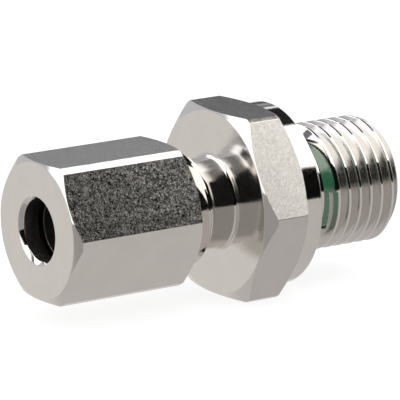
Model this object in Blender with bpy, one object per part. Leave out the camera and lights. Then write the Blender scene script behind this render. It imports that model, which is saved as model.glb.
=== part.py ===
"""Straight male stud tube fitting: 24 degree cone end for 6 mm tube, G 1/4 A stud with a captive seal.

The fitting lies on its side with its axis along X. The union nut points to -X and the stud to +X.
The origin is on the axis, half way between the nut's front face and the end of the stud.
Sizes are in millimetres and become metres when a mesh is written. Every round form is turned
from an outline of (station, radius) points, and both hexagons are turned blanks cut from hexagon bar.
"""

import math

import bmesh
import bpy
from mathutils import Matrix

MILLIMETRE = 0.001
TAU = 2.0 * math.pi

# Tube that the fitting takes, and the running clearances
TUBE_DIAMETER = 6.0
TUBE_CLEARANCE = 0.1
PIECE_GAP = 0.3
THREAD_FLANK_GAP = 0.17
CUTTER_OVERLAP = 0.05
BAR_OVERHANG = 1.0

# Stud: G 1/4 A parallel pipe thread
STUD_LENGTH = 12.0
STUD_THREAD_DIAMETER = 13.157
STUD_THREAD_PITCH = 1.337
STUD_THREAD_DEPTH = 0.856
STUD_FLANK_ANGLE = 27.5
STUD_CREST_SHARE = 0.22
STUD_THREAD_START = 3.343
STUD_THREAD_START_ANGLE = 82.5
STUD_RELIEF_LENGTH = 2.7
STUD_RELIEF_UNDER_ROOT = 0.08
THREAD_END_EXTRA = 0.05
PASSAGE_DIAMETER = 4.0
PASSAGE_CHAMFER = 0.3

# Collar and captive seal
COLLAR_DIAMETER = 18.8
COLLAR_WIDTH = 2.05
COLLAR_CHAMFER = 0.2
SEAL_OUTER_DIAMETER = 16.4
SEAL_THICKNESS = 1.5
SEAL_PROUD = 0.4
SEAL_CHAMFER = 0.3

# Hexagons
BODY_HEXAGON = 19.0
BODY_HEXAGON_WIDTH = 5.2
BODY_CORNER_FLAT = 0.6
NUT_HEXAGON = 14.0
NUT_CORNER_FLAT = 0.9
HEXAGON_CHAMFER_ANGLE = 30.0
NUT_CHAMFER_INSET = 0.1

# Neck and M12 x 1.5 thread of the tube end
NECK_DIAMETER = 9.4
NECK_LENGTH = 2.75
NECK_FILLET = 0.35
TUBE_END_LENGTH = 9.75
TUBE_THREAD_DIAMETER = 12.0
TUBE_THREAD_PITCH = 1.5
TUBE_THREAD_DEPTH = 0.92
TUBE_FLANK_ANGLE = 30.0
TUBE_CREST_SHARE = 0.125

# 24 degree cone and tube socket
CONE_HALF_ANGLE = 12.0
CONE_MOUTH_DIAMETER = 8.1
SOCKET_DEPTH = 7.0

# Union nut
NUT_LENGTH = 15.0
NUT_FRONT_FROM_COLLAR = 28.0
NUT_MOUTH_CHAMFER = 0.4
NUT_LAND = 2.0
NUT_SHOULDER_ANGLE = 45.0
NUT_THREAD_LENGTH = 7.0
NUT_RELIEF_LENGTH = 1.3
NUT_RELIEF_OVER_ROOT = 0.05

# Cutting ring
RING_LENGTH = 9.0
RING_DIAMETER = 9.9
RING_NOSE_WALL = 0.45
RING_TAIL_WALL = 0.3
RING_NOSE_LENGTH = 2.2
RING_EDGE_WIDTH = 0.45
RING_RELIEF_DEPTH = 0.2
RING_RELIEF_LENGTH = 1.2

# Roundness
TURNED_SEGMENTS = 48
THREAD_SEGMENTS = 48
FILLET_SEGMENTS = 3
SHARP_EDGE_ANGLE = 25.0

# Radii that several pieces share
BORE_RADIUS = (TUBE_DIAMETER + TUBE_CLEARANCE) / 2
STUD_RADIUS = STUD_THREAD_DIAMETER / 2
STUD_ROOT_RADIUS = STUD_RADIUS - STUD_THREAD_DEPTH
STUD_RELIEF_RADIUS = STUD_ROOT_RADIUS - STUD_RELIEF_UNDER_ROOT
TUBE_THREAD_RADIUS = TUBE_THREAD_DIAMETER / 2
TUBE_ROOT_RADIUS = TUBE_THREAD_RADIUS - TUBE_THREAD_DEPTH
NUT_ROOT_RADIUS = TUBE_THREAD_RADIUS + PIECE_GAP
NUT_CREST_RADIUS = TUBE_ROOT_RADIUS + PIECE_GAP
NUT_RELIEF_RADIUS = NUT_ROOT_RADIUS + NUT_RELIEF_OVER_ROOT
NUT_BORE_RADIUS = BORE_RADIUS + TUBE_CLEARANCE / 2
COLLAR_RADIUS = COLLAR_DIAMETER / 2
RING_RADIUS = RING_DIAMETER / 2

# Stations along X, counted from the collar's sealing face, nut side negative
HEXAGON_FACE = -(COLLAR_WIDTH + BODY_HEXAGON_WIDTH)
CONE_FACE = HEXAGON_FACE - TUBE_END_LENGTH
NUT_FRONT = -NUT_FRONT_FROM_COLLAR
SEALING_FACE_X = (NUT_FRONT_FROM_COLLAR - STUD_LENGTH) / 2


def slope(angle):
    """Rise of a line for each unit that it runs, from its angle in degrees."""
    return math.tan(math.radians(angle))


def corner_radius(across_flats):
    """Radius of the circle through the six corners of a hexagon."""
    return across_flats / math.sqrt(3.0)


def fillet(centre, radius, start_angle, end_angle):
    """Points of a round corner, from one angle in degrees to another."""
    points = []
    for step in range(FILLET_SEGMENTS + 1):
        angle = math.radians(start_angle + (end_angle - start_angle) * step / FILLET_SEGMENTS)
        points.append((centre[0] + radius * math.cos(angle), centre[1] + radius * math.sin(angle)))
    return points


def make_material(name, colour, roughness, metallic):
    """Principled material with one colour."""
    material = bpy.data.materials.new(name)
    material.use_nodes = True
    shader = material.node_tree.nodes["Principled BSDF"]
    shader.inputs["Base Color"].default_value = (*colour, 1.0)
    shader.inputs["Roughness"].default_value = roughness
    shader.inputs["Metallic"].default_value = metallic
    material.diffuse_color = (*colour, 1.0)
    return material


def make_object(name, mesh_builder, station):
    """Write a finished bmesh into an object whose origin is on the axis at a station."""
    bmesh.ops.recalc_face_normals(mesh_builder, faces=mesh_builder.faces)
    bmesh.ops.scale(mesh_builder, vec=(MILLIMETRE,) * 3, verts=mesh_builder.verts)
    mesh = bpy.data.meshes.new(name)
    mesh_builder.to_mesh(mesh)
    mesh_builder.free()
    piece = bpy.data.objects.new(name, mesh)
    piece.location.x = (SEALING_FACE_X + station) * MILLIMETRE
    bpy.context.scene.collection.objects.link(piece)
    return piece


def outline_loop(mesh_builder, outline):
    """Closed wire loop of an outline, drawn in the plane above the axis."""
    corners = [mesh_builder.verts.new((along, 0.0, radius)) for along, radius in outline]
    edges = []
    for index, corner in enumerate(corners):
        edges.append(mesh_builder.edges.new((corner, corners[(index + 1) % len(corners)])))
    return corners, edges


def turned(name, outline, station=0.0):
    """Body of revolution about the X axis."""
    mesh_builder = bmesh.new()
    corners, edges = outline_loop(mesh_builder, outline)
    bmesh.ops.spin(
        mesh_builder, geom=corners + edges, cent=(0, 0, 0), axis=(1, 0, 0),
        angle=TAU, steps=TURNED_SEGMENTS, use_merge=True,
    )
    return make_object(name, mesh_builder, station)


def hexagon_bar(name, across_flats, corner_flat, start, end, station=0.0):
    """Length of hexagon bar, its corners cut to narrow flats, level above and below the axis."""
    mesh_builder = bmesh.new()
    upright = Matrix.Translation((start, 0, 0)) @ Matrix.Rotation(math.pi / 2, 4, "Y")
    bmesh.ops.create_circle(
        mesh_builder, cap_ends=True, segments=6, radius=corner_radius(across_flats), matrix=upright)
    bmesh.ops.bevel(
        mesh_builder, geom=mesh_builder.verts[:], offset=corner_flat, offset_type="WIDTH", affect="VERTICES",
        segments=1, profile=0.5, material=-1,
    )
    pulled = bmesh.ops.extrude_face_region(mesh_builder, geom=mesh_builder.faces[:])
    moved = [item for item in pulled["geom"] if isinstance(item, bmesh.types.BMVert)]
    bmesh.ops.translate(mesh_builder, vec=(end - start, 0, 0), verts=moved)
    return make_object(name, mesh_builder, station)


def thread_groove(name, groove, pitch, centre, end, station=0.0, start_angle=0.0):
    """Right-hand coil with the section of a thread groove, which starts at an angle from the top."""
    turns = (end - centre) / pitch
    steps = math.ceil(turns * THREAD_SEGMENTS)
    mesh_builder = bmesh.new()
    corners, edges = outline_loop(mesh_builder, [(centre + along, radius) for along, radius in groove])
    turn = Matrix.Rotation(math.radians(start_angle), 3, "X")
    bmesh.ops.rotate(mesh_builder, verts=corners, cent=(0, 0, 0), matrix=turn)
    swept = bmesh.ops.spin(
        mesh_builder, geom=corners + edges, cent=(0, 0, 0), axis=(1, 0, 0),
        dvec=(pitch / THREAD_SEGMENTS, 0, 0), angle=TAU * steps / THREAD_SEGMENTS, steps=steps,
    )
    last = [item for item in swept["geom_last"] if isinstance(item, bmesh.types.BMEdge)]
    bmesh.ops.edgeloop_fill(mesh_builder, edges=edges)
    bmesh.ops.edgeloop_fill(mesh_builder, edges=last)
    return make_object(name, mesh_builder, station)


def make_guide(guide, piece):
    """Keep a cutter with its piece, drawn as wire and left out of renders."""
    guide.parent = piece
    guide.location = (0, 0, 0)
    guide.display_type = "WIRE"
    guide.hide_render = True
    return guide


def cut(piece, cutter, operation):
    """Add a boolean modifier that works on the piece with a cutter."""
    modifier = piece.modifiers.new(cutter.name, "BOOLEAN")
    modifier.operation = operation
    modifier.solver = "EXACT"
    modifier.object = make_guide(cutter, piece)


def finish(piece, material):
    """Give a piece its material and smooth shading on its round faces."""
    piece.data.materials.append(material)
    piece.data.shade_smooth()
    piece.data.set_sharp_from_angle(angle=math.radians(SHARP_EDGE_ANGLE))


def body_outline():
    """Outline of the stud body, from the stud's end along the outside and back through the bore."""
    face_radius = COLLAR_RADIUS
    corner = corner_radius(BODY_HEXAGON)
    chamfer = (corner - face_radius) * slope(HEXAGON_CHAMFER_ANGLE)
    seat_radius = SEAL_OUTER_DIAMETER / 2 + PIECE_GAP
    seat_floor = -(SEAL_THICKNESS - SEAL_PROUD + PIECE_GAP)
    end_chamfer = STUD_THREAD_DEPTH + THREAD_END_EXTRA
    relief_end = STUD_RELIEF_LENGTH + STUD_RADIUS - STUD_RELIEF_RADIUS
    neck = NECK_DIAMETER / 2
    neck_end = HEXAGON_FACE - NECK_LENGTH
    thread_start = neck_end - (TUBE_THREAD_RADIUS - neck)
    tube_chamfer = TUBE_THREAD_DEPTH + THREAD_END_EXTRA
    cone_mouth = CONE_MOUTH_DIAMETER / 2
    cone_end = CONE_FACE + (cone_mouth - BORE_RADIUS) / slope(CONE_HALF_ANGLE)
    passage = PASSAGE_DIAMETER / 2
    stud = [
        (STUD_LENGTH, STUD_RADIUS - end_chamfer),
        (STUD_LENGTH - end_chamfer, STUD_RADIUS),
        (relief_end, STUD_RADIUS),
        (STUD_RELIEF_LENGTH, STUD_RELIEF_RADIUS),
    ]
    seat = [
        (seat_floor, STUD_RELIEF_RADIUS),
        (seat_floor, seat_radius),
        (0.0, seat_radius),
    ]
    collar = [
        (0.0, COLLAR_RADIUS - COLLAR_CHAMFER),
        (-COLLAR_CHAMFER, COLLAR_RADIUS),
        (-COLLAR_WIDTH, face_radius),
    ]
    hexagon = [
        (-COLLAR_WIDTH - chamfer, corner),
        (HEXAGON_FACE + chamfer, corner),
        (HEXAGON_FACE, face_radius),
    ]
    neck_root = fillet((HEXAGON_FACE - NECK_FILLET, neck + NECK_FILLET), NECK_FILLET, 0, -90)
    tube_end = [
        (neck_end, neck),
        (thread_start, TUBE_THREAD_RADIUS),
        (CONE_FACE + tube_chamfer, TUBE_THREAD_RADIUS),
        (CONE_FACE, TUBE_THREAD_RADIUS - tube_chamfer),
    ]
    bore = [
        (CONE_FACE, cone_mouth),
        (cone_end, BORE_RADIUS),
        (CONE_FACE + SOCKET_DEPTH, BORE_RADIUS),
        (CONE_FACE + SOCKET_DEPTH, passage),
        (STUD_LENGTH - PASSAGE_CHAMFER, passage),
        (STUD_LENGTH, passage + PASSAGE_CHAMFER),
    ]
    return stud + seat + collar + hexagon + neck_root + tube_end + bore


def nut_outline():
    """Outline of the union nut, from its front face along the outside and back through the bore."""
    face_radius = NUT_HEXAGON / 2 - NUT_CHAMFER_INSET
    corner = corner_radius(NUT_HEXAGON)
    chamfer = (corner - face_radius) * slope(HEXAGON_CHAMFER_ANGLE)
    thread_start = NUT_LENGTH - NUT_THREAD_LENGTH
    relief_start = thread_start - NUT_RELIEF_LENGTH
    chamber = RING_RADIUS + PIECE_GAP
    shoulder_end = NUT_LAND + (chamber - NUT_BORE_RADIUS) / slope(NUT_SHOULDER_ANGLE)
    outside = [
        (0.0, face_radius),
        (chamfer, corner),
        (NUT_LENGTH - chamfer, corner),
        (NUT_LENGTH, face_radius),
    ]
    thread_bore = [
        (NUT_LENGTH, NUT_RELIEF_RADIUS),
        (NUT_LENGTH - (NUT_RELIEF_RADIUS - NUT_CREST_RADIUS), NUT_CREST_RADIUS),
        (thread_start, NUT_CREST_RADIUS),
        (thread_start, NUT_RELIEF_RADIUS),
        (relief_start, NUT_RELIEF_RADIUS),
    ]
    ring_chamber = [
        (relief_start, chamber),
        (shoulder_end, chamber),
        (NUT_LAND, NUT_BORE_RADIUS),
        (NUT_MOUTH_CHAMFER, NUT_BORE_RADIUS),
        (0.0, NUT_BORE_RADIUS + NUT_MOUTH_CHAMFER),
    ]
    return outside + thread_bore + ring_chamber


def ring_outline():
    """Outline of the cutting ring, from its tail in the nut to its nose in the cone."""
    inner = BORE_RADIUS + TUBE_CLEARANCE / 2
    tail_radius = inner + RING_TAIL_WALL
    tail = (RING_RADIUS - tail_radius) / slope(NUT_SHOULDER_ANGLE)
    nose_radius = BORE_RADIUS + RING_NOSE_WALL
    taper_radius = nose_radius + RING_NOSE_LENGTH * slope(CONE_HALF_ANGLE)
    taper_start = RING_LENGTH - RING_NOSE_LENGTH
    relief_radius = BORE_RADIUS + RING_RELIEF_DEPTH
    front_edge = RING_LENGTH - RING_EDGE_WIDTH
    relief_end = front_edge - RING_RELIEF_LENGTH
    back_edge = relief_end - RING_EDGE_WIDTH
    outside = [
        (0.0, tail_radius),
        (tail, RING_RADIUS),
        (taper_start - (RING_RADIUS - taper_radius), RING_RADIUS),
        (taper_start, taper_radius),
        (RING_LENGTH, nose_radius),
    ]
    inside = [
        (RING_LENGTH, BORE_RADIUS),
        (front_edge, BORE_RADIUS),
        (front_edge - RING_RELIEF_DEPTH, relief_radius),
        (relief_end, relief_radius),
        (relief_end, BORE_RADIUS),
        (back_edge, BORE_RADIUS),
        (back_edge - TUBE_CLEARANCE, inner),
        (0.0, inner),
    ]
    return outside + inside


def seal_outline():
    """Outline of the captive seal, from its proud face to the floor of its seat."""
    inner = STUD_RELIEF_RADIUS + PIECE_GAP
    outer = SEAL_OUTER_DIAMETER / 2
    floor = SEAL_PROUD - SEAL_THICKNESS
    return [
        (SEAL_PROUD, inner),
        (SEAL_PROUD, outer - SEAL_CHAMFER),
        (SEAL_PROUD - SEAL_CHAMFER, outer),
        (floor, outer),
        (floor, inner),
    ]


def male_groove(radius, depth, pitch, flank_angle, crest_share):
    """Section of the groove between two crests of an outside thread, drawn past the crests."""
    crest_half = pitch * (1.0 - crest_share) / 2
    root_half = crest_half - depth * slope(flank_angle)
    past_half = crest_half + CUTTER_OVERLAP * slope(flank_angle)
    return [
        (-past_half, radius + CUTTER_OVERLAP),
        (-root_half, radius - depth),
        (root_half, radius - depth),
        (past_half, radius + CUTTER_OVERLAP),
    ]


def female_groove():
    """Section of the nut's groove, which clears a crest of the tube end's thread on every side."""
    crest_half = TUBE_THREAD_PITCH * TUBE_CREST_SHARE / 2 + THREAD_FLANK_GAP
    root_half = crest_half - (NUT_ROOT_RADIUS - TUBE_THREAD_RADIUS) * slope(TUBE_FLANK_ANGLE)
    open_radius = NUT_CREST_RADIUS - CUTTER_OVERLAP
    open_half = crest_half + (TUBE_THREAD_RADIUS - open_radius) * slope(TUBE_FLANK_ANGLE)
    return [
        (-open_half, open_radius),
        (-root_half, NUT_ROOT_RADIUS),
        (root_half, NUT_ROOT_RADIUS),
        (open_half, open_radius),
    ]


def tube_thread_phase(station):
    """First place after a station where the groove of the tube end's thread crosses the top."""
    return CONE_FACE + math.ceil((station - CONE_FACE) / TUBE_THREAD_PITCH) * TUBE_THREAD_PITCH


def make_body(material):
    """Stud body: one piece turned from hexagon bar, with both outside threads."""
    body = turned("stud_body", body_outline())
    bar = hexagon_bar(
        "body_bar", BODY_HEXAGON, BODY_CORNER_FLAT, CONE_FACE - BAR_OVERHANG, STUD_LENGTH + BAR_OVERHANG)
    cut(body, bar, "INTERSECT")
    groove = male_groove(
        STUD_RADIUS, STUD_THREAD_DEPTH, STUD_THREAD_PITCH, STUD_FLANK_ANGLE, STUD_CREST_SHARE)
    stud_coil = thread_groove(
        "stud_thread", groove, STUD_THREAD_PITCH, STUD_THREAD_START, STUD_LENGTH + STUD_THREAD_PITCH,
        start_angle=STUD_THREAD_START_ANGLE)
    cut(body, stud_coil, "DIFFERENCE")
    groove = male_groove(
        TUBE_THREAD_RADIUS, TUBE_THREAD_DEPTH, TUBE_THREAD_PITCH, TUBE_FLANK_ANGLE, TUBE_CREST_SHARE)
    tube_end = HEXAGON_FACE - NECK_LENGTH + TUBE_THREAD_PITCH / 2
    tube_coil = thread_groove(
        "tube_end_thread", groove, TUBE_THREAD_PITCH, tube_thread_phase(CONE_FACE - TUBE_THREAD_PITCH),
        tube_end)
    cut(body, tube_coil, "DIFFERENCE")
    finish(body, material)
    return body


def make_nut(material):
    """Union nut: turned from hexagon bar, with the inside thread in mesh with the tube end."""
    nut = turned("union_nut", nut_outline(), NUT_FRONT)
    bar = hexagon_bar(
        "nut_bar", NUT_HEXAGON, NUT_CORNER_FLAT, -BAR_OVERHANG, NUT_LENGTH + BAR_OVERHANG, NUT_FRONT)
    cut(nut, bar, "INTERSECT")
    first = NUT_LENGTH - NUT_THREAD_LENGTH - NUT_RELIEF_LENGTH / 2
    phase = tube_thread_phase(NUT_FRONT + first) - TUBE_THREAD_PITCH / 2 - NUT_FRONT
    coil = thread_groove(
        "nut_thread", female_groove(), TUBE_THREAD_PITCH, phase, NUT_LENGTH + TUBE_THREAD_PITCH, NUT_FRONT)
    cut(nut, coil, "DIFFERENCE")
    finish(nut, material)
    return nut


def make_ring(material):
    """Cutting ring, carried in the nut a gap clear of the nut's shoulder."""
    tail_radius = BORE_RADIUS + TUBE_CLEARANCE / 2 + RING_TAIL_WALL
    shoulder_gap = PIECE_GAP / math.cos(math.radians(NUT_SHOULDER_ANGLE))
    reach = (tail_radius - NUT_BORE_RADIUS) / slope(NUT_SHOULDER_ANGLE)
    station = NUT_FRONT + NUT_LAND + reach + shoulder_gap
    ring = turned("cutting_ring", ring_outline(), station)
    finish(ring, material)
    return ring


def make_seal(material):
    """Captive elastomer seal in the collar's seat."""
    seal = turned("stud_seal", seal_outline())
    finish(seal, material)
    return seal


def main():
    """Clear the scene and build the four pieces of the fitting."""
    for item in list(bpy.data.objects):
        bpy.data.objects.remove(item, do_unlink=True)
    stainless = make_material("stainless_steel", (0.56, 0.54, 0.51), 0.25, 1.0)
    elastomer = make_material("green_elastomer", (0.012, 0.15, 0.068), 0.35, 0.0)
    make_body(stainless)
    make_seal(elastomer)
    make_ring(stainless)
    make_nut(stainless)


main()
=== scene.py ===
"""Dressed screw-in tube fitting: finely turned pieces, their finishes and a plain white studio.

The axis runs along X with the union nut at -X and the stud at +X. Sizes are worked in millimetres
and every finished mesh is written in metres, in place, under an object that stays at the origin.
"""

import math
from types import SimpleNamespace

import bmesh
import bpy
from bpy.props import FloatProperty, FloatVectorProperty, IntProperty, PointerProperty
from bpy.types import Operator, Panel, PropertyGroup
from mathutils import Matrix, Vector


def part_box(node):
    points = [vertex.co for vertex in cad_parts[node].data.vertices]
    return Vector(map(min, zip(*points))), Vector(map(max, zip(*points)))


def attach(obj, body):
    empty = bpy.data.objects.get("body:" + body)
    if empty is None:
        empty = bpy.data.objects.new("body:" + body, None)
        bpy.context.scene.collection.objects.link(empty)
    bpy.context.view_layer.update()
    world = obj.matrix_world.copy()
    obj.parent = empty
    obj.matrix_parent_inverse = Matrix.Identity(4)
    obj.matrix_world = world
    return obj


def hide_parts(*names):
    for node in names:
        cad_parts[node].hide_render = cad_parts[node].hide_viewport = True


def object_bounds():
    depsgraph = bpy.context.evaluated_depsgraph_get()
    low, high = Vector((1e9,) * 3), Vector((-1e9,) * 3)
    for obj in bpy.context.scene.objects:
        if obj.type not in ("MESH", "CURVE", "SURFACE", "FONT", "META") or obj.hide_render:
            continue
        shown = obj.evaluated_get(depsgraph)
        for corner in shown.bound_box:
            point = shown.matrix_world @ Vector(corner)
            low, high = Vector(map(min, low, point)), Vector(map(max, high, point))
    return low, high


bl_info = {
    "name": "Screw-in Tube Fitting",
    "version": (1, 0, 0),
    "blender": (4, 5, 0),
    "location": "View3D > Sidebar > Fitting",
    "description": "Turned pieces, finishes and studio for a screw-in tube fitting",
    "category": "Object",
}

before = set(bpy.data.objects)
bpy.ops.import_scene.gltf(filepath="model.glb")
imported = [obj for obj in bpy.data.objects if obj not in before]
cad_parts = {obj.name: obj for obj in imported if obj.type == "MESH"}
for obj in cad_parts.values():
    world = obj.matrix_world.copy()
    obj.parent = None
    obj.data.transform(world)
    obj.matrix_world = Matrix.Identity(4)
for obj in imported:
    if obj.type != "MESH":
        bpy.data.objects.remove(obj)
CAD_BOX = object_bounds()

MILLIMETRE = 0.001

# Angles of the cut forms, in degrees
HEXAGON_CHAMFER = 30
HALF_CONE = 12
PIPE_FLANK = 27.5
METRIC_FLANK = 30

# Share of a metric thread's pitch that its crest takes
METRIC_CREST = 0.125

# Small lengths in millimetres: how far a cut goes past a root or a crest, and a loose fit
PAST = 0.05
CLEARANCE = 0.05

# How faces are told apart: parts of their normals, and distances from the axis in metres
LEVEL = 0.01
SQUARE_TO_AXIS = 0.9
STEEP = 0.8
RAMP_STEEPNESS = (0.6, 0.8)
INWARD = 0.000001
INSIDE_ANY_FLAT = 0.0069
OUTSIDE_ANY_BORE = 0.004

# Finishes that more than one piece has
FINE_GRAIN = 0.01
LATHE_LINES = 0.1
INNER_ROUGHNESS = 0.4
# Painted shade: inside the bores and on the ring in the nut, the steel's colour is darkened to
# this share
PAINTED_SHADE_INSIDE = 0.4


def length(name, description, default):
    """Length property in metres, shown in the scene's units."""
    return FloatProperty(
        name=name, description=description, default=default, min=0.0, unit="LENGTH", precision=6)


class StudSizes(PropertyGroup):
    """Stud, collar and seal."""

    length: length("Length", "From the sealing face to the end of the stud", 0.012)
    thread: length("Thread", "Outside diameter of the pipe thread", 0.013157)
    pitch: length("Pitch", "Advance of the pipe thread in one turn", 0.001337)
    depth: length("Depth", "Depth of the pipe thread", 0.000856)
    crest: length("Crest", "Width of each crest", 0.000294)
    start: length("Start", "From the sealing face to the start of the thread's groove", 0.003343)
    start_angle: FloatProperty(
        name="Start Angle", description="Angle from the top to the start of the thread's groove",
        unit="ROTATION", default=math.radians(82.5))
    relief: length("Relief", "Length of the plain neck behind the thread", 0.0027)
    passage: length("Passage", "Diameter of the flow passage", 0.004)
    collar: length("Collar", "Diameter of the collar", 0.0188)
    collar_width: length("Collar Width", "Thickness of the collar", 0.00205)
    seal: length("Seal", "Outside diameter of the seal", 0.0164)
    seal_thickness: length("Seal Thickness", "Thickness of the seal", 0.0015)
    seal_proud: length("Seal Proud", "How far the seal stands out of its seat", 0.0004)


class BodySizes(PropertyGroup):
    """Hexagon, neck and tube end."""

    hexagon: length("Hexagon", "Size across the flats of the body", 0.019)
    hexagon_width: length("Hexagon Width", "Width of the body's hexagon along the axis", 0.0052)
    corner_flat: length("Corner Flat", "Width of the flat on each corner of the body", 0.0006)
    neck: length("Neck", "Diameter of the neck", 0.0094)
    neck_length: length("Neck Length", "Length of the neck", 0.00275)
    tube_end: length("Tube End", "From the hexagon's face to the end of the cone", 0.00975)
    thread: length("Thread", "Outside diameter of the tube end's thread", 0.012)
    pitch: length("Pitch", "Advance of the tube end's thread in one turn", 0.0015)
    depth: length("Depth", "Depth of the tube end's thread", 0.00092)
    cone_mouth: length("Cone Mouth", "Diameter of the mouth of the 24 degree cone", 0.0081)
    bore: length("Bore", "Diameter of the tube socket", 0.0061)
    socket: length("Socket", "Depth of the tube socket", 0.007)


class NutSizes(PropertyGroup):
    """Union nut and cutting ring."""

    hexagon: length("Hexagon", "Size across the flats of the nut", 0.014)
    length: length("Length", "Length of the nut", 0.015)
    corner_flat: length("Corner Flat", "Width of the flat on each corner of the nut", 0.0009)
    front: length("Front", "From the sealing face to the front of the nut", 0.028)
    mouth: length("Mouth", "Width of the chamfer round the bore", 0.0004)
    land: length("Land", "Length of the bore before the shoulder", 0.002)
    thread_length: length("Thread Length", "Length of the inside thread", 0.007)
    gap: length("Gap", "Clearance of the inside thread and of the ring", 0.0003)
    ring: length("Ring", "Outside diameter of the cutting ring", 0.0099)
    ring_length: length("Ring Length", "Length of the cutting ring", 0.009)


class EdgeSizes(PropertyGroup):
    """Edges, roundness and surface grain."""

    edge: length("Edge", "Radius that breaks each turned edge", 0.00006)
    hexagon_edge: length("Hexagon Edge", "Radius that breaks the long edges of a hexagon", 0.00004)
    root: length("Root", "Radius at the root of a thread", 0.00008)
    crest_round: length("Crest Round", "Radius at the crest of the stud's thread", 0.00012)
    segments: IntProperty(
        name="Segments", description="Sides of a turned form", default=144, min=24)
    grain: length("Grain", "Size of one facet of the steel's grain", 0.000085)
    turning: length("Turning", "Spacing of the fine lines left by the lathe", 0.00007)


class Finishes(PropertyGroup):
    """Colours and roughness."""

    steel: FloatVectorProperty(
        name="Steel", description="Colour of the stainless steel", subtype="COLOR",
        default=(0.79, 0.765, 0.735), min=0.0, max=1.0)
    turned_roughness: FloatProperty(
        name="Turned Roughness", description="Roughness of turned faces", subtype="FACTOR",
        default=0.07, min=0.0, max=1.0)
    faced_roughness: FloatProperty(
        name="Faced Roughness", description="Roughness of the flat face of the body's hexagon",
        subtype="FACTOR", default=0.12, min=0.0, max=1.0)
    drawn_roughness: FloatProperty(
        name="Drawn Roughness", description="Roughness of the hexagons' flats", subtype="FACTOR",
        default=0.19, min=0.0, max=1.0)
    thread_roughness: FloatProperty(
        name="Thread Roughness", description="Roughness of the cut flanks of the stud's thread",
        subtype="FACTOR", default=0.18, min=0.0, max=1.0)
    nut_grain: FloatProperty(
        name="Nut Grain", description="Tilt of the grain's facets on the nut",
        default=0.062, min=0.0)
    body_grain: FloatProperty(
        name="Body Grain", description="Tilt of the grain's facets on the body",
        default=0.015, min=0.0)
    seal: FloatVectorProperty(
        name="Seal", description="Colour of the elastomer", subtype="COLOR",
        default=(0.012, 0.215, 0.095), min=0.0, max=1.0)
    seal_roughness: FloatProperty(
        name="Seal Roughness", description="Roughness of the elastomer", subtype="FACTOR",
        default=0.3, min=0.0, max=1.0)


class StudioSettings(PropertyGroup):
    """Floor, light and camera."""

    floor_colour: FloatVectorProperty(
        name="Floor", description="Colour of the floor", subtype="COLOR",
        default=(0.62, 0.61, 0.6), min=0.0, max=1.0)
    ambient: FloatProperty(
        name="Ambient", description="Strength of the even light", default=0.8, min=0.0)
    lamp_power: FloatProperty(
        name="Lamp", description="Power of the overhead soft light", unit="POWER",
        default=0.8, min=0.0)
    camera_distance: length("Camera Distance", "From the camera to the fitting", 0.4)
    azimuth: FloatProperty(
        name="Azimuth", description="Side that the camera looks from", unit="ROTATION",
        default=math.radians(-33.58))
    elevation: FloatProperty(
        name="Elevation", description="Height of the camera above level", unit="ROTATION",
        default=math.radians(14.59))
    lens: FloatProperty(
        name="Lens", description="Focal length on a 36 mm sensor", unit="CAMERA",
        default=356.0, min=1.0)


GROUPS = {
    "fitting_stud": StudSizes,
    "fitting_body": BodySizes,
    "fitting_nut": NutSizes,
    "fitting_edges": EdgeSizes,
    "fitting_finishes": Finishes,
    "fitting_studio": StudioSettings,
}


def in_millimetres(group):
    """The lengths of a property group in millimetres, and its counts and angles as they are."""
    values = {}
    for name in group.__annotations__:
        value = getattr(group, name)
        is_length = group.bl_rna.properties[name].unit == "LENGTH"
        values[name] = value / MILLIMETRE if is_length else value
    return SimpleNamespace(**values)


def all_sizes(scene):
    """Every size that the pieces share, in millimetres, with the stations along the axis."""
    stud, body = in_millimetres(scene.fitting_stud), in_millimetres(scene.fitting_body)
    nut, edge = in_millimetres(scene.fitting_nut), in_millimetres(scene.fitting_edges)
    hexagon_face = -(stud.collar_width + body.hexagon_width)
    below_root = 0.08
    return SimpleNamespace(
        stud=stud, body=body, nut=nut, edge=edge,
        sealing_face=(nut.front - stud.length) / 2,
        hexagon_face=hexagon_face,
        cone_face=hexagon_face - body.tube_end,
        relief_radius=stud.thread / 2 - stud.depth - below_root,
        nut_crest=body.thread / 2 - body.depth + nut.gap,
        nut_root=body.thread / 2 + nut.gap,
    )


# Turned and milled forms


def slope(angle):
    """Rise of a line for each unit that it runs, from its angle in degrees."""
    return math.tan(math.radians(angle))


def corner_radius(across_flats):
    """Radius of the circle through the six corners of a hexagon."""
    return across_flats / math.sqrt(3.0)


def outline_loop(builder, outline, round_over):
    """Closed wire loop of (station, radius) points above the axis, its corners rounded over."""
    corners = [builder.verts.new((along, 0.0, radius)) for along, radius in outline]
    for index, corner in enumerate(corners):
        builder.edges.new((corner, corners[(index + 1) % len(corners)]))
    if round_over:
        bmesh.ops.bevel(
            builder, geom=builder.verts[:], offset=round_over, offset_type="OFFSET",
            affect="VERTICES", segments=3, profile=0.5, material=-1, clamp_overlap=True)


def make_mesh_object(name, builder, station):
    """Put a bmesh in millimetres into an object at the origin, its mesh in metres and in place."""
    bmesh.ops.recalc_face_normals(builder, faces=builder.faces)
    bmesh.ops.translate(builder, vec=(station, 0, 0), verts=builder.verts)
    bmesh.ops.scale(builder, vec=(MILLIMETRE,) * 3, verts=builder.verts)
    mesh = bpy.data.meshes.new(name)
    builder.to_mesh(mesh)
    builder.free()
    piece = bpy.data.objects.new(name, mesh)
    bpy.context.scene.collection.objects.link(piece)
    return piece


def turned(name, outline, round_over, segments, station):
    """Body of revolution about the X axis."""
    builder = bmesh.new()
    outline_loop(builder, outline, round_over)
    bmesh.ops.spin(
        builder, geom=builder.verts[:] + builder.edges[:], cent=(0, 0, 0), axis=(1, 0, 0),
        angle=math.tau, steps=segments, use_merge=True)
    return make_mesh_object(name, builder, station)


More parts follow.
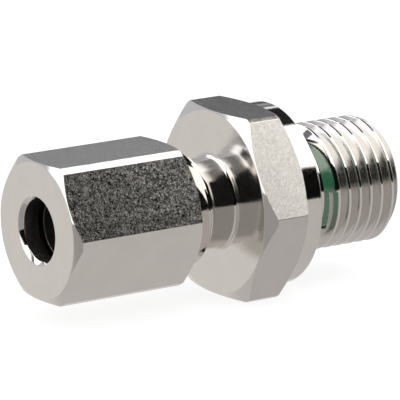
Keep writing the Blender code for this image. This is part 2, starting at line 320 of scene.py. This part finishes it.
def hexagon_bar(name, across_flats, corner_flat, round_over, start, end, station):
    """Length of hexagon bar with narrow flats on its corners and softened long edges."""
    builder = bmesh.new()
    upright = Matrix.Translation((start, 0, 0)) @ Matrix.Rotation(math.pi / 2, 4, "Y")
    bmesh.ops.create_circle(
        builder, cap_ends=True, segments=6, radius=corner_radius(across_flats), matrix=upright)
    for offset, kind, segments in ((corner_flat, "WIDTH", 1), (round_over, "OFFSET", 2)):
        bmesh.ops.bevel(
            builder, geom=builder.verts[:], offset=offset, offset_type=kind,
            affect="VERTICES", segments=segments, profile=0.5, material=-1)
    pulled = bmesh.ops.extrude_face_region(builder, geom=builder.faces[:])
    moved = [item for item in pulled["geom"] if isinstance(item, bmesh.types.BMVert)]
    bmesh.ops.translate(builder, vec=(end - start, 0, 0), verts=moved)
    return make_mesh_object(name, builder, station)


def thread_coil(
        name, groove, round_over, pitch, centre, end, segments, station, start_angle=0.0):
    """Right-hand coil with a thread groove's section, which starts at an angle from the top."""
    steps = math.ceil((end - centre) / pitch * segments)
    builder = bmesh.new()
    outline_loop(builder, [(centre + along, radius) for along, radius in groove], round_over)
    turn = Matrix.Rotation(start_angle, 3, "X")
    bmesh.ops.rotate(builder, verts=builder.verts, cent=(0, 0, 0), matrix=turn)
    first = builder.edges[:]
    swept = bmesh.ops.spin(
        builder, geom=builder.verts[:] + first, cent=(0, 0, 0), axis=(1, 0, 0),
        dvec=(pitch / segments, 0, 0), angle=math.tau * steps / segments, steps=steps)
    last = [item for item in swept["geom_last"] if isinstance(item, bmesh.types.BMEdge)]
    bmesh.ops.edgeloop_fill(builder, edges=first)
    bmesh.ops.edgeloop_fill(builder, edges=last)
    return make_mesh_object(name, builder, station)


def combine(piece, cutter, operation):
    """Cut a piece with another one, and remove the cutter."""
    fewest_faces = 12
    modifier = piece.modifiers.new(cutter.name, "BOOLEAN")
    modifier.operation = operation
    modifier.solver = "EXACT"
    modifier.object = cutter
    cut_mesh = bpy.data.meshes.new_from_object(
        piece.evaluated_get(bpy.context.evaluated_depsgraph_get()))
    if len(cut_mesh.polygons) < fewest_faces:
        raise RuntimeError(f"{piece.name} lost its shape when {cutter.name} cut it")
    piece.modifiers.clear()
    old_mesh, piece.data = piece.data, cut_mesh
    cut_mesh.name = piece.name
    bpy.data.meshes.remove(old_mesh)
    bpy.data.objects.remove(cutter)


def shade(piece, angle=28.0):
    """Smooth shading on round faces, crisp edges elsewhere, and large faces kept flat."""
    piece.data.shade_smooth()
    piece.data.set_sharp_from_angle(angle=math.radians(angle))
    weighted = piece.modifiers.new("large_faces_first", "WEIGHTED_NORMAL")
    weighted.mode = "FACE_AREA"
    weighted.weight = 100
    weighted.keep_sharp = True


def finish_piece(piece, body, node):
    """Put a piece on its moving body, and hide the solid that it stands for."""
    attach(piece, body)
    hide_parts(node)


# Places of the finishes


def paint(piece, material):
    """Give a whole piece one finish."""
    piece.data.materials.clear()
    piece.data.materials.append(material)


def paint_between(piece, low, high, material, belongs):
    """Give the faces between two stations that pass a test a finish of their own."""
    piece.data.materials.append(material)
    index = len(piece.data.materials) - 1
    for face in piece.data.polygons:
        if low < face.center.x / MILLIMETRE < high and belongs(face):
            face.material_index = index


def from_axis(face):
    """Distance from the axis to the middle of a face."""
    return math.hypot(face.center.y, face.center.z)


def outward(face):
    """How squarely a face looks away from the axis, times its distance from it."""
    return face.normal.y * face.center.y + face.normal.z * face.center.z


def bar_flat(face):
    """True for the flats of a hexagon."""
    radius = from_axis(face)
    level = abs(face.normal.x) < LEVEL
    return level and outward(face) > SQUARE_TO_AXIS * radius and radius > INSIDE_ANY_FLAT


def steep(face):
    """True for flat ends and the flanks of a thread."""
    return abs(face.normal.x) > STEEP


def ramp_up(face):
    """True for a slope of about 45 degrees that rises away from the nut."""
    least, most = RAMP_STEEPNESS
    return least < -face.normal.x < most


def inward_bore(face):
    """True for the faces of a bore, which look at the axis or lie close to it."""
    return outward(face) < -INWARD or from_axis(face) < OUTSIDE_ANY_BORE


# Outlines, as (station, radius) points counted from the sealing face


def body_outline(s):
    """Outline of the body from the stud's end along the outside and back through the bore."""
    stud, body = s.stud, s.body
    radius, collar = stud.thread / 2, stud.collar / 2
    corner = corner_radius(body.hexagon)
    chamfer = (corner - collar) * slope(HEXAGON_CHAMFER)
    collar_chamfer, passage_chamfer = 0.2, 0.3
    fillet, fillet_middle = 0.35, 0.12
    seat_radius = stud.seal / 2 + s.nut.gap
    seat_floor = -(stud.seal_thickness - stud.seal_proud + s.nut.gap)
    end_chamfer = stud.depth + PAST
    neck, neck_end = body.neck / 2, s.hexagon_face - body.neck_length
    tube_radius = body.thread / 2
    tube_chamfer = body.depth + PAST
    mouth, bore, passage = body.cone_mouth / 2, body.bore / 2, stud.passage / 2
    return [
        (stud.length, radius - end_chamfer),
        (stud.length - end_chamfer, radius),
        (stud.relief + radius - s.relief_radius, radius),
        (stud.relief, s.relief_radius),
        (seat_floor, s.relief_radius),
        (seat_floor, seat_radius),
        (0.0, seat_radius),
        (0.0, collar - collar_chamfer),
        (-collar_chamfer, collar),
        (-stud.collar_width, collar),
        (-stud.collar_width - chamfer, corner),
        (s.hexagon_face + chamfer, corner),
        (s.hexagon_face, collar),
        (s.hexagon_face, neck + fillet),
        (s.hexagon_face - fillet_middle, neck + fillet_middle),
        (s.hexagon_face - fillet, neck),
        (neck_end, neck),
        (neck_end - (tube_radius - neck), tube_radius),
        (s.cone_face + tube_chamfer, tube_radius),
        (s.cone_face, tube_radius - tube_chamfer),
        (s.cone_face, mouth),
        (s.cone_face + (mouth - bore) / slope(HALF_CONE), bore),
        (s.cone_face + body.socket, bore),
        (s.cone_face + body.socket, passage),
        (stud.length - passage_chamfer, passage),
        (stud.length, passage + passage_chamfer),
    ]


def nut_outline(s):
    """Outline of the nut from its front face along the outside and back through the bore."""
    nut = s.nut
    below_flat, relief_length = 0.1, 1.3
    face = nut.hexagon / 2 - below_flat
    corner = corner_radius(nut.hexagon)
    chamfer = (corner - face) * slope(HEXAGON_CHAMFER)
    start = nut.length - nut.thread_length
    bore = s.body.bore / 2 + CLEARANCE
    chamber = nut.ring / 2 + nut.gap
    relief = s.nut_root + CLEARANCE
    return [
        (0.0, face),
        (chamfer, corner),
        (nut.length - chamfer, corner),
        (nut.length, face),
        (nut.length, relief),
        (nut.length - (relief - s.nut_crest), s.nut_crest),
        (start, s.nut_crest),
        (start, relief),
        (start - relief_length, relief),
        (start - relief_length, chamber),
        (nut.land + chamber - bore, chamber),
        (nut.land, bore),
        (nut.mouth, bore),
        (0.0, bore + nut.mouth),
    ]


def ring_outline(s):
    """Outline of the cutting ring from its tail in the nut to its nose in the cone."""
    tail_wall, nose_wall, nose_length = 0.3, 0.45, 2.2
    nose_land, groove_depth, groove_end = 0.45, 0.2, 1.2
    land_end, step_end = 1.65, 1.75
    bore, radius, full = s.body.bore / 2, s.nut.ring / 2, s.nut.ring_length
    inner = bore + CLEARANCE
    tail, nose = inner + tail_wall, bore + nose_wall
    taper = nose + nose_length * slope(HALF_CONE)
    edge = full - nose_land
    return [
        (0.0, tail),
        (radius - tail, radius),
        (full - nose_length - (radius - taper), radius),
        (full - nose_length, taper),
        (full, nose),
        (full, bore),
        (edge, bore),
        (edge - groove_depth, bore + groove_depth),
        (edge - groove_end, bore + groove_depth),
        (edge - groove_end, bore),
        (edge - land_end, bore),
        (edge - step_end, inner),
        (0.0, inner),
    ]


def seal_outline(s):
    """Outline of the captive seal with its rounded outer lip."""
    inner, outer = s.relief_radius + s.nut.gap, s.stud.seal / 2
    proud, floor = s.stud.seal_proud, s.stud.seal_proud - s.stud.seal_thickness
    lip = 0.3
    return [
        (proud, inner),
        (proud, outer - lip),
        (proud - lip, outer),
        (floor, outer),
        (floor, inner),
    ]


def outside_groove(radius, depth, pitch, flank, crest, crest_round=0.0):
    """Section of the groove between two crests of an outside thread, drawn past the crests."""
    least_root, crest_angle, steps = 0.02, 12, 3
    half = (pitch - crest) / 2
    root = max(half - depth * slope(flank), least_root)
    right = [(root, radius - depth)]
    if crest_round:
        flank_angle = 90 - flank
        lean = math.radians(flank_angle)
        centre = half + crest_round * (math.sin(lean) - (1 - math.cos(lean)) * slope(flank))
        for step in range(steps + 1):
            turn = math.radians(flank_angle + (crest_angle - flank_angle) * step / steps)
            height = radius - crest_round * (1 - math.cos(turn))
            right.append((centre - crest_round * math.sin(turn), height))
        right.append((centre, radius + PAST))
    else:
        right.append((half + PAST * slope(flank), radius + PAST))
    return [(-along, height) for along, height in reversed(right)] + right


def inside_groove(s):
    """Section of the nut's groove round a crest of the tube end's thread."""
    flank, flank_gap = slope(METRIC_FLANK), 0.17
    half = s.body.pitch * METRIC_CREST / 2 + flank_gap
    root = half - s.nut.gap * flank
    inner = s.nut_crest - PAST
    wide = half + (s.body.thread / 2 - inner) * flank
    return [(-wide, inner), (-root, s.nut_root), (root, s.nut_root), (wide, inner)]


def groove_station(s, station):
    """First place after a station where the tube end's thread groove crosses the top."""
    pitch = s.body.pitch
    return s.cone_face + math.ceil((station - s.cone_face) / pitch) * pitch


# Finishes


class Nodes:
    """Short way to add nodes to a material or a world."""

    def __init__(self, tree):
        self.tree = tree

    def add(self, kind, inputs=None, **settings):
        """Add a node, set what is named, and link what is a socket."""
        node = self.tree.nodes.new(kind)
        for name, value in settings.items():
            setattr(node, name, value)
        for key, value in (inputs or {}).items():
            if isinstance(value, bpy.types.NodeSocket):
                self.tree.links.new(value, node.inputs[key])
            else:
                node.inputs[key].default_value = value
        return node

    def maths(self, operation, *values):
        """Result of a Math node."""
        node = self.add("ShaderNodeMath", dict(enumerate(values)), operation=operation)
        return node.outputs[0]

    def vector_maths(self, operation, *values, output="Vector"):
        """Result of a Vector Math node."""
        node = self.add("ShaderNodeVectorMath", dict(enumerate(values)), operation=operation)
        return node.outputs[output]

    def ramp(self, value, low, high, start=0.0, end=1.0):
        """Smooth step of a value from one level to another."""
        node = self.add(
            "ShaderNodeMapRange",
            {"Value": value, "From Min": low, "From Max": high, "To Min": start, "To Max": end},
            interpolation_type="SMOOTHSTEP")
        return node.outputs["Result"]

    def mix(self, factor, first, second):
        """Blend of two colours."""
        factor_input, first_input, second_input, colour_output = 0, 6, 7, 2
        inputs = {factor_input: factor}
        for key, colour in ((first_input, first), (second_input, second)):
            inputs[key] = (*colour, 1.0) if isinstance(colour, tuple) else colour
        return self.add("ShaderNodeMix", inputs, data_type="RGBA").outputs[colour_output]

    def noise(self, vector, scale, detail):
        """Soft noise over a piece."""
        inputs = {"Vector": vector, "Scale": scale, "Detail": detail}
        return self.add("ShaderNodeTexNoise", inputs).outputs["Fac"]

    def mottled(self, noise, colour, darkest):
        """Colour that noise darkens in places, down to a share of it."""
        darker = tuple(channel * darkest for channel in colour)
        return self.mix(self.ramp(noise, 0.35, 0.65), darker, tuple(colour))

    def varied(self, noise, value, share):
        """Number that noise moves down and up by a share of it."""
        return self.ramp(noise, 0.3, 0.7, value * (1 - share), value * (1 + share))

    def link(self, output, socket):
        """Link a result to a socket."""
        self.tree.links.new(output, socket)


def new_material(name, metallic):
    """Empty material with its Principled shader."""
    material = bpy.data.materials.new(name)
    material.use_nodes = True
    shader = material.node_tree.nodes["Principled BSDF"]
    shader.inputs["Metallic"].default_value = metallic
    return material, Nodes(material.node_tree), shader


def lathe_lines(nodes, place, strength, spacing):
    """Normal of a turned face, with fine lines round the axis along its outline."""
    split = nodes.add("ShaderNodeSeparateXYZ", {"Vector": place}).outputs
    squares = nodes.maths(
        "ADD", nodes.maths("POWER", split["Y"], 2.0), nodes.maths("POWER", split["Z"], 2.0))
    along = nodes.maths("ADD", split["X"], nodes.maths("SQRT", squares))
    counted = nodes.maths("MULTIPLY", along, 1.0 / spacing)
    lines = nodes.add(
        "ShaderNodeTexNoise", {"W": counted, "Scale": 1.0}, noise_dimensions="1D")
    height = {"Height": lines.outputs["Fac"], "Strength": strength, "Distance": 0.000004}
    return nodes.add("ShaderNodeBump", height).outputs["Normal"]


def steel(name, scene, roughness, grain=0.0, turning=0.0, tilt=(0.0, 0.0, 0.0), brightness=1.0):
    """Stainless steel with a grain of tiny facets, and lathe lines where it is turned.

    The tilt leans every normal the same way, so that a face mirrors another part of the room.
    """
    material, nodes, shader = new_material(name, 1.0)
    edges = scene.fitting_edges
    place = nodes.add("ShaderNodeTexCoord").outputs["Object"]
    colour = [channel * brightness for channel in scene.fitting_finishes.steel]
    broad, fine = nodes.noise(place, 420.0, 3.0), nodes.noise(place, 2600.0, 2.0)
    nodes.link(nodes.mottled(broad, colour, 0.975), shader.inputs["Base Color"])
    nodes.link(nodes.varied(fine, roughness, 0.2), shader.inputs["Roughness"])
    facets = nodes.add("ShaderNodeTexVoronoi", {"Vector": place, "Scale": 1.0 / edges.grain})
    centred = nodes.vector_maths("SUBTRACT", facets.outputs["Color"], (0.5, 0.5, 0.5))
    tilted = nodes.add("ShaderNodeVectorMath", {0: centred, "Scale": grain}, operation="SCALE")
    if turning:
        normal = lathe_lines(nodes, place, turning, edges.turning)
    else:
        normal = nodes.add("ShaderNodeNewGeometry").outputs["Normal"]
    leaning = nodes.vector_maths("ADD", normal, tilted.outputs["Vector"])
    if any(tilt):
        leaning = nodes.vector_maths("ADD", leaning, tilt)
    nodes.link(nodes.vector_maths("NORMALIZE", leaning), shader.inputs["Normal"])
    return material


def turned_steel(name, scene):
    """Polished steel of the turned faces."""
    return steel(
        name, scene, scene.fitting_finishes.turned_roughness, grain=FINE_GRAIN,
        turning=LATHE_LINES)


def shaded_bore_steel(name, scene):
    """Dull steel of the inside, its colour darkened as painted shade where little light comes."""
    return steel(name, scene, INNER_ROUGHNESS, brightness=PAINTED_SHADE_INSIDE)


def elastomer(scene):
    """Smooth green elastomer with a slight moulded texture."""
    material, nodes, shader = new_material("green_elastomer", 0.0)
    finishes = scene.fitting_finishes
    place = nodes.add("ShaderNodeTexCoord").outputs["Object"]
    cloud = nodes.noise(place, 900.0, 4.0)
    nodes.link(nodes.mottled(cloud, finishes.seal, 0.8), shader.inputs["Base Color"])
    nodes.link(nodes.varied(cloud, finishes.seal_roughness, 0.15), shader.inputs["Roughness"])
    for name, value in (("Coat Weight", 1.0), ("Coat Roughness", 0.15), ("Coat IOR", 2.3)):
        shader.inputs[name].default_value = value
    bump = nodes.add("ShaderNodeBump", {"Height": cloud, "Strength": 0.25, "Distance": 0.00001})
    nodes.link(bump.outputs["Normal"], shader.inputs["Normal"])
    return material


# Studio

WHITE = (1.0, 1.0, 1.0, 1.0)

# Brightness of the room, and of its black half, which lies against the direction ahead
ROOM_LIGHT, BLACK_HALF = 1.8, 0.003
AHEAD = (0.582, 0.753, 0.306)

# Soft boxes and dark gaps of the room: direction, full and outer angle in degrees, brightness
SIDE_BOX = ((-0.96, 0.12, 0.25), 22.0, 28.0, 1.5)
LEFT_BOX = ((-0.66, 0.15, 0.74), 22.5, 24.5, 1.8)
NECK_BOX = ((-0.535, 0.35, 0.77), 26.0, 31.0, 0.2)
COLLAR_GAP = ((0.9, -0.38, 0.1), 14.0, 19.0, 0.02)
THREAD_GAP = ((0.535, 0.47, 0.70), 15.0, 20.0, 0.02)

# Brightness of the low part of the back wall, from the horizon up, and of the ground
HORIZON, ABOVE_HORIZON, FAR_LEFT = (0.09, 0.35), 0.14, 0.58
GROUND, BESIDE_NUT = (0.56, 0.72), 0.36

# Tints of the sky, from the near side to the far one, and of the ground
NEAR_SKY, FAR_SKY, GROUND_TINT = (1.0, 0.975, 0.94), (0.99, 1.0, 1.04), (1.0, 0.96, 0.935)


def studio_floor(scene):
    """Wide pale floor under the lowest flat of the fitting."""
    builder = bmesh.new()
    low, high = CAD_BOX
    middle = (low + high) / 2
    bmesh.ops.create_circle(
        builder, cap_ends=True, segments=64, radius=2.0,
        matrix=Matrix.Translation((middle.x, middle.y, low.z)))
    mesh = bpy.data.meshes.new("floor")
    builder.to_mesh(mesh)
    builder.free()
    floor = bpy.data.objects.new("floor", mesh)
    scene.collection.objects.link(floor)
    material = bpy.data.materials.new("pale_floor")
    material.use_nodes = True
    nodes = Nodes(material.node_tree)
    nodes.tree.nodes.clear()
    place = nodes.add("ShaderNodeTexCoord").outputs["Object"]
    paper = nodes.noise(place, 60.0, 3.0)
    colour = tuple(scene.fitting_studio.floor_colour)
    tint = nodes.mix(paper, tuple(channel * 0.98 for channel in colour), colour)
    seen = nodes.add("ShaderNodeLightPath").outputs["Is Camera Ray"]
    matt = nodes.add("ShaderNodeBsdfDiffuse", {"Color": tint})
    pale = nodes.add("ShaderNodeBsdfDiffuse", {"Color": (0.3, 0.3, 0.3, 1.0)})
    glow = nodes.add("ShaderNodeEmission", {"Color": WHITE, "Strength": 0.83})
    white = nodes.add("ShaderNodeAddShader", {0: pale.outputs[0], 1: glow.outputs[0]})
    chosen = nodes.add(
        "ShaderNodeMixShader", {0: seen, 1: matt.outputs[0], 2: white.outputs[0]})
    nodes.add("ShaderNodeOutputMaterial", {"Surface": chosen.outputs[0]})
    mesh.materials.append(material)
    floor.visible_glossy = False


def studio_world(scene):
    """White room: even light on matt faces, and soft boxes with dark gaps for polished faces."""
    world = bpy.data.worlds.new("white_studio")
    world.use_nodes = True
    scene.world = world
    nodes = Nodes(world.node_tree)
    nodes.tree.nodes.clear()
    towards = nodes.add("ShaderNodeTexCoord").outputs["Generated"]
    parts = nodes.add("ShaderNodeSeparateXYZ", {"Vector": towards})

    def band(axis, begins, full, start=0.0, end=1.0):
        """Smooth step along one axis of the direction looked in."""
        return nodes.ramp(parts.outputs[axis], begins, full, start, end)

    def both(first, second):
        """Mask where two masks meet."""
        return nodes.maths("MULTIPLY", first, second)

    def near(direction, inside, outside):
        """1 within an angle of a direction, 0 outside a wider one, in degrees."""
        heading = tuple(Vector(direction).normalized())
        cosine = nodes.vector_maths("DOT_PRODUCT", towards, heading, output="Value")
        return nodes.ramp(
            cosine, math.cos(math.radians(outside)), math.cos(math.radians(inside)))

    def level(base, mask, value):
        """Blend a brightness to a value where a mask is 1."""
        kept = nodes.maths("MULTIPLY", base, nodes.maths("SUBTRACT", 1.0, mask))
        return nodes.maths("ADD", kept, nodes.maths("MULTIPLY", mask, value))

    def hang(base, box, limit=None):
        """Put a soft box or a dark gap into the room, within a limit where one is given."""
        *place, brightness = box
        mask = near(*place)
        return level(base, mask if limit is None else both(mask, limit), brightness)

    ahead = nodes.vector_maths("DOT_PRODUCT", towards, AHEAD, output="Value")
    room = level(ROOM_LIGHT, nodes.ramp(ahead, 0.035, 0.005), BLACK_HALF)
    room = hang(room, SIDE_BOX)
    room = hang(room, LEFT_BOX, band("X", -0.6, -0.64))
    room = hang(room, COLLAR_GAP)
    room = hang(room, THREAD_GAP)
    horizon = band("Z", 0.13, 0.27, *HORIZON)
    horizon = level(horizon, band("Z", 0.3, 0.38), ABOVE_HORIZON)
    horizon = level(horizon, band("X", 0.4, 0.3), FAR_LEFT)
    room = level(room, both(band("Y", 0.55, 0.68), band("Z", 0.5, 0.38)), horizon)
    room = hang(room, NECK_BOX, both(band("X", -0.6, -0.575), band("X", -0.46, -0.475)))
    ground = band("Y", 0.5, 0.75, *GROUND)
    ground = level(ground, both(band("X", -0.2, -0.45), band("Y", 0.3, 0.0)), BESIDE_NUT)
    below = band("Z", 0.01, -0.01)
    room = level(room, below, ground)
    sky = nodes.mix(band("Y", 0.0, 0.4), NEAR_SKY, FAR_SKY)
    tint = nodes.mix(below, sky, GROUND_TINT)
    seen = nodes.add("ShaderNodeLightPath").outputs
    room_light = nodes.add("ShaderNodeBackground", {"Color": tint, "Strength": room})
    even_light = nodes.add(
        "ShaderNodeBackground", {"Color": WHITE, "Strength": scene.fitting_studio.ambient})
    backdrop = nodes.add("ShaderNodeBackground", {"Color": WHITE, "Strength": 1.0})
    lit = nodes.add(
        "ShaderNodeMixShader",
        {0: seen["Is Glossy Ray"], 1: even_light.outputs[0], 2: room_light.outputs[0]})
    shown = nodes.maths("MAXIMUM", seen["Is Camera Ray"], seen["Is Transmission Ray"])
    chosen = nodes.add(
        "ShaderNodeMixShader", {0: shown, 1: lit.outputs[0], 2: backdrop.outputs[0]})
    nodes.add("ShaderNodeOutputWorld", {"Surface": chosen.outputs[0]})


def studio_lamp(scene):
    """Large soft light above and behind the camera's right shoulder."""
    lamp = bpy.data.lights.new("soft_light", "AREA")
    lamp.shape = "RECTANGLE"
    lamp.size, lamp.size_y = 0.4, 0.3
    lamp.energy = scene.fitting_studio.lamp_power
    holder = bpy.data.objects.new("soft_light", lamp)
    scene.collection.objects.link(holder)
    holder.location = (0.15, -0.1, 0.45)
    holder.rotation_mode = "QUATERNION"
    holder.rotation_quaternion = Vector(holder.location).to_track_quat("Z", "Y")
    holder.visible_glossy = False


def studio_camera(scene):
    """Long lens from the photograph's side and height."""
    sensor_width, shift, aim = 36.0, (0.0071, 0.0105), Vector((-0.001, 0.0, 0.0))
    studio = scene.fitting_studio
    camera = bpy.data.cameras.new("camera")
    camera.lens, camera.sensor_width = studio.lens, sensor_width
    camera.shift_x, camera.shift_y = shift
    camera.clip_start, camera.clip_end = 0.01, 20.0
    holder = bpy.data.objects.new("camera", camera)
    scene.collection.objects.link(holder)
    azimuth, elevation = studio.azimuth, studio.elevation
    level = math.cos(elevation)
    back = Vector((math.sin(azimuth) * level, -math.cos(azimuth) * level, math.sin(elevation)))
    holder.location = aim + back * studio.camera_distance
    holder.rotation_mode = "QUATERNION"
    holder.rotation_quaternion = back.to_track_quat("Z", "Y")
    scene.camera = holder


class FITTING_OT_stage(Operator):
    """Set the floor, the light and the camera"""

    bl_idname = "fitting.stage"
    bl_label = "Studio"

    def execute(self, context):
        scene = context.scene
        scene.view_settings.view_transform = "Standard"
        studio_floor(scene)
        studio_world(scene)
        studio_lamp(scene)
        studio_camera(scene)
        return {"FINISHED"}


class FITTING_OT_body(Operator):
    """Turn the stud body from hexagon bar and cut both its threads"""

    bl_idname = "fitting.body"
    bl_label = "Stud Body"

    def execute(self, context):
        s = all_sizes(context.scene)
        stud, body, edge = s.stud, s.body, s.edge
        piece = turned(
            "stud_body_turned", body_outline(s), edge.edge, edge.segments, s.sealing_face)
        combine(piece, hexagon_bar(
            "body_bar", body.hexagon, body.corner_flat, edge.hexagon_edge, s.cone_face - 1,
            stud.length + 1, s.sealing_face), "INTERSECT")
        groove = outside_groove(
            stud.thread / 2, stud.depth, stud.pitch, PIPE_FLANK, stud.crest, edge.crest_round)
        combine(piece, thread_coil(
            "stud_thread", groove, 0.0, stud.pitch, stud.start, stud.length + stud.pitch,
            edge.segments, s.sealing_face, stud.start_angle), "DIFFERENCE")
        groove = outside_groove(
            body.thread / 2, body.depth, body.pitch, METRIC_FLANK, body.pitch * METRIC_CREST)
        first = groove_station(s, s.cone_face - body.pitch)
        last = s.hexagon_face - body.neck_length + body.pitch / 2
        combine(piece, thread_coil(
            "tube_end_thread", groove, edge.root, body.pitch, first, last, edge.segments,
            s.sealing_face), "DIFFERENCE")
        self.apply_finishes(context.scene, s, piece)
        shade(piece)
        finish_piece(piece, "stud", "stud_body")
        return {"FINISHED"}

    def apply_finishes(self, scene, s, piece):
        """Give each part of the body its steel."""
        finishes = scene.fitting_finishes
        drawn_steel = steel(
            "drawn_steel_body", scene, finishes.drawn_roughness, grain=finishes.body_grain,
            tilt=(0.0, 0.045, -0.035), brightness=0.88)
        cut_steel = steel(
            "cut_steel_body", scene, finishes.thread_roughness, grain=0.02, brightness=0.93)
        faced_steel = steel(
            "faced_steel_body", scene, finishes.faced_roughness, grain=FINE_GRAIN,
            turning=LATHE_LINES)
        relief_steel = steel(
            "relief_steel_body", scene, 0.06, grain=FINE_GRAIN, turning=0.05,
            tilt=(-0.24, 0.0, 0.0))
        margin, reach = 0.1, 1
        face, sealing = s.sealing_face + s.hexagon_face, s.sealing_face
        hexagon_end = face + s.body.hexagon_width
        relief, stud_end = sealing + s.stud.relief, sealing + s.stud.length
        paint(piece, turned_steel("turned_steel_body", scene))
        paint_between(piece, face, hexagon_end, drawn_steel, bar_flat)
        paint_between(piece, sealing + reach, stud_end - margin, cut_steel, steep)
        paint_between(piece, face - margin, face + margin, faced_steel, steep)
        paint_between(piece, relief, relief + reach, relief_steel, ramp_up)
        # The bore's faces get steel whose colour is darkened as painted shade
        paint_between(
            piece, sealing + s.cone_face - reach, sealing,
            shaded_bore_steel("shaded_bore_steel_body", scene), inward_bore)


class FITTING_OT_seal(Operator):
    """Mould the captive seal in the collar's seat"""

    bl_idname = "fitting.seal"
    bl_label = "Captive Seal"

    def execute(self, context):
        s = all_sizes(context.scene)
        round_over = 0.1
        piece = turned(
            "captive_seal", seal_outline(s), round_over, s.edge.segments, s.sealing_face)
        paint(piece, elastomer(context.scene))
        shade(piece)
        finish_piece(piece, "stud", "stud_seal")
        return {"FINISHED"}


class FITTING_OT_ring(Operator):
    """Turn the cutting ring that lies inside the nut"""

    bl_idname = "fitting.ring"
    bl_label = "Cutting Ring"

    def execute(self, context):
        s = all_sizes(context.scene)
        low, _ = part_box("cutting_ring")
        piece = turned(
            "cutting_ring_turned", ring_outline(s), s.edge.edge, s.edge.segments,
            low.x / MILLIMETRE)
        # The ring lies inside the nut, so its steel's colour is darkened as painted shade
        paint(piece, steel(
            "shaded_steel_ring", context.scene, INNER_ROUGHNESS, turning=LATHE_LINES,
            brightness=PAINTED_SHADE_INSIDE))
        shade(piece)
        finish_piece(piece, "ring", "cutting_ring")
        return {"FINISHED"}


class FITTING_OT_nut(Operator):
    """Turn the union nut from hexagon bar and cut its inside thread"""

    bl_idname = "fitting.nut"
    bl_label = "Union Nut"

    def execute(self, context):
        s = all_sizes(context.scene)
        nut, body, edge = s.nut, s.body, s.edge
        front = s.sealing_face - nut.front
        piece = turned("union_nut_turned", nut_outline(s), edge.edge, edge.segments, front)
        combine(piece, hexagon_bar(
            "nut_bar", nut.hexagon, nut.corner_flat, edge.hexagon_edge, -1, nut.length + 1,
            front), "INTERSECT")
        into_relief = 0.65
        first = nut.length - nut.thread_length - into_relief
        phase = groove_station(s, first - nut.front) - body.pitch / 2 + nut.front
        combine(piece, thread_coil(
            "nut_thread", inside_groove(s), edge.root, body.pitch, phase,
            nut.length + body.pitch, edge.segments, front), "DIFFERENCE")
        self.apply_finishes(context.scene, nut, piece, front)
        shade(piece)
        finish_piece(piece, "nut", "union_nut")
        return {"FINISHED"}

    def apply_finishes(self, scene, nut, piece, front):
        """Give each part of the nut its steel."""
        entry, back_edge = 1, 0.5
        drawn_steel = steel(
            "drawn_steel_nut", scene, 0.16, grain=scene.fitting_finishes.nut_grain,
            tilt=(0.0, 0.0, -0.082))
        paint(piece, turned_steel("turned_steel_nut", scene))
        paint_between(piece, front, front + nut.length, drawn_steel, bar_flat)
        # The bore's faces get steel whose colour is darkened as painted shade
        paint_between(
            piece, front + entry, front + nut.length - back_edge,
            shaded_bore_steel("shaded_bore_steel_nut", scene), inward_bore)


OPERATORS = (FITTING_OT_stage, FITTING_OT_body, FITTING_OT_seal, FITTING_OT_ring, FITTING_OT_nut)


class FITTING_PT_panel(Panel):
    """Sidebar panel with the pieces and their settings"""

    bl_label = "Screw-in Fitting"
    bl_idname = "FITTING_PT_panel"
    bl_space_type = "VIEW_3D"
    bl_region_type = "UI"
    bl_category = "Fitting"

    def draw(self, context):
        column = self.layout.column(align=True)
        for operator in OPERATORS:
            column.operator(operator.bl_idname)
        for name, group in GROUPS.items():
            box = self.layout.box()
            box.label(text=group.__doc__)
            for prop in group.__annotations__:
                box.prop(getattr(context.scene, name), prop)


def register():
    for group in GROUPS.values():
        bpy.utils.register_class(group)
    for name, group in GROUPS.items():
        setattr(bpy.types.Scene, name, PointerProperty(type=group))
    for item in (*OPERATORS, FITTING_PT_panel):
        bpy.utils.register_class(item)


def unregister():
    for item in reversed((*OPERATORS, FITTING_PT_panel)):
        bpy.utils.unregister_class(item)
    for name in GROUPS:
        delattr(bpy.types.Scene, name)
    for group in reversed(list(GROUPS.values())):
        bpy.utils.unregister_class(group)


def main():
    """Build every piece and the studio."""
    register()
    bpy.ops.fitting.body()
    bpy.ops.fitting.seal()
    bpy.ops.fitting.ring()
    bpy.ops.fitting.nut()
    bpy.ops.fitting.stage()


if __name__ == "__main__":
    main()
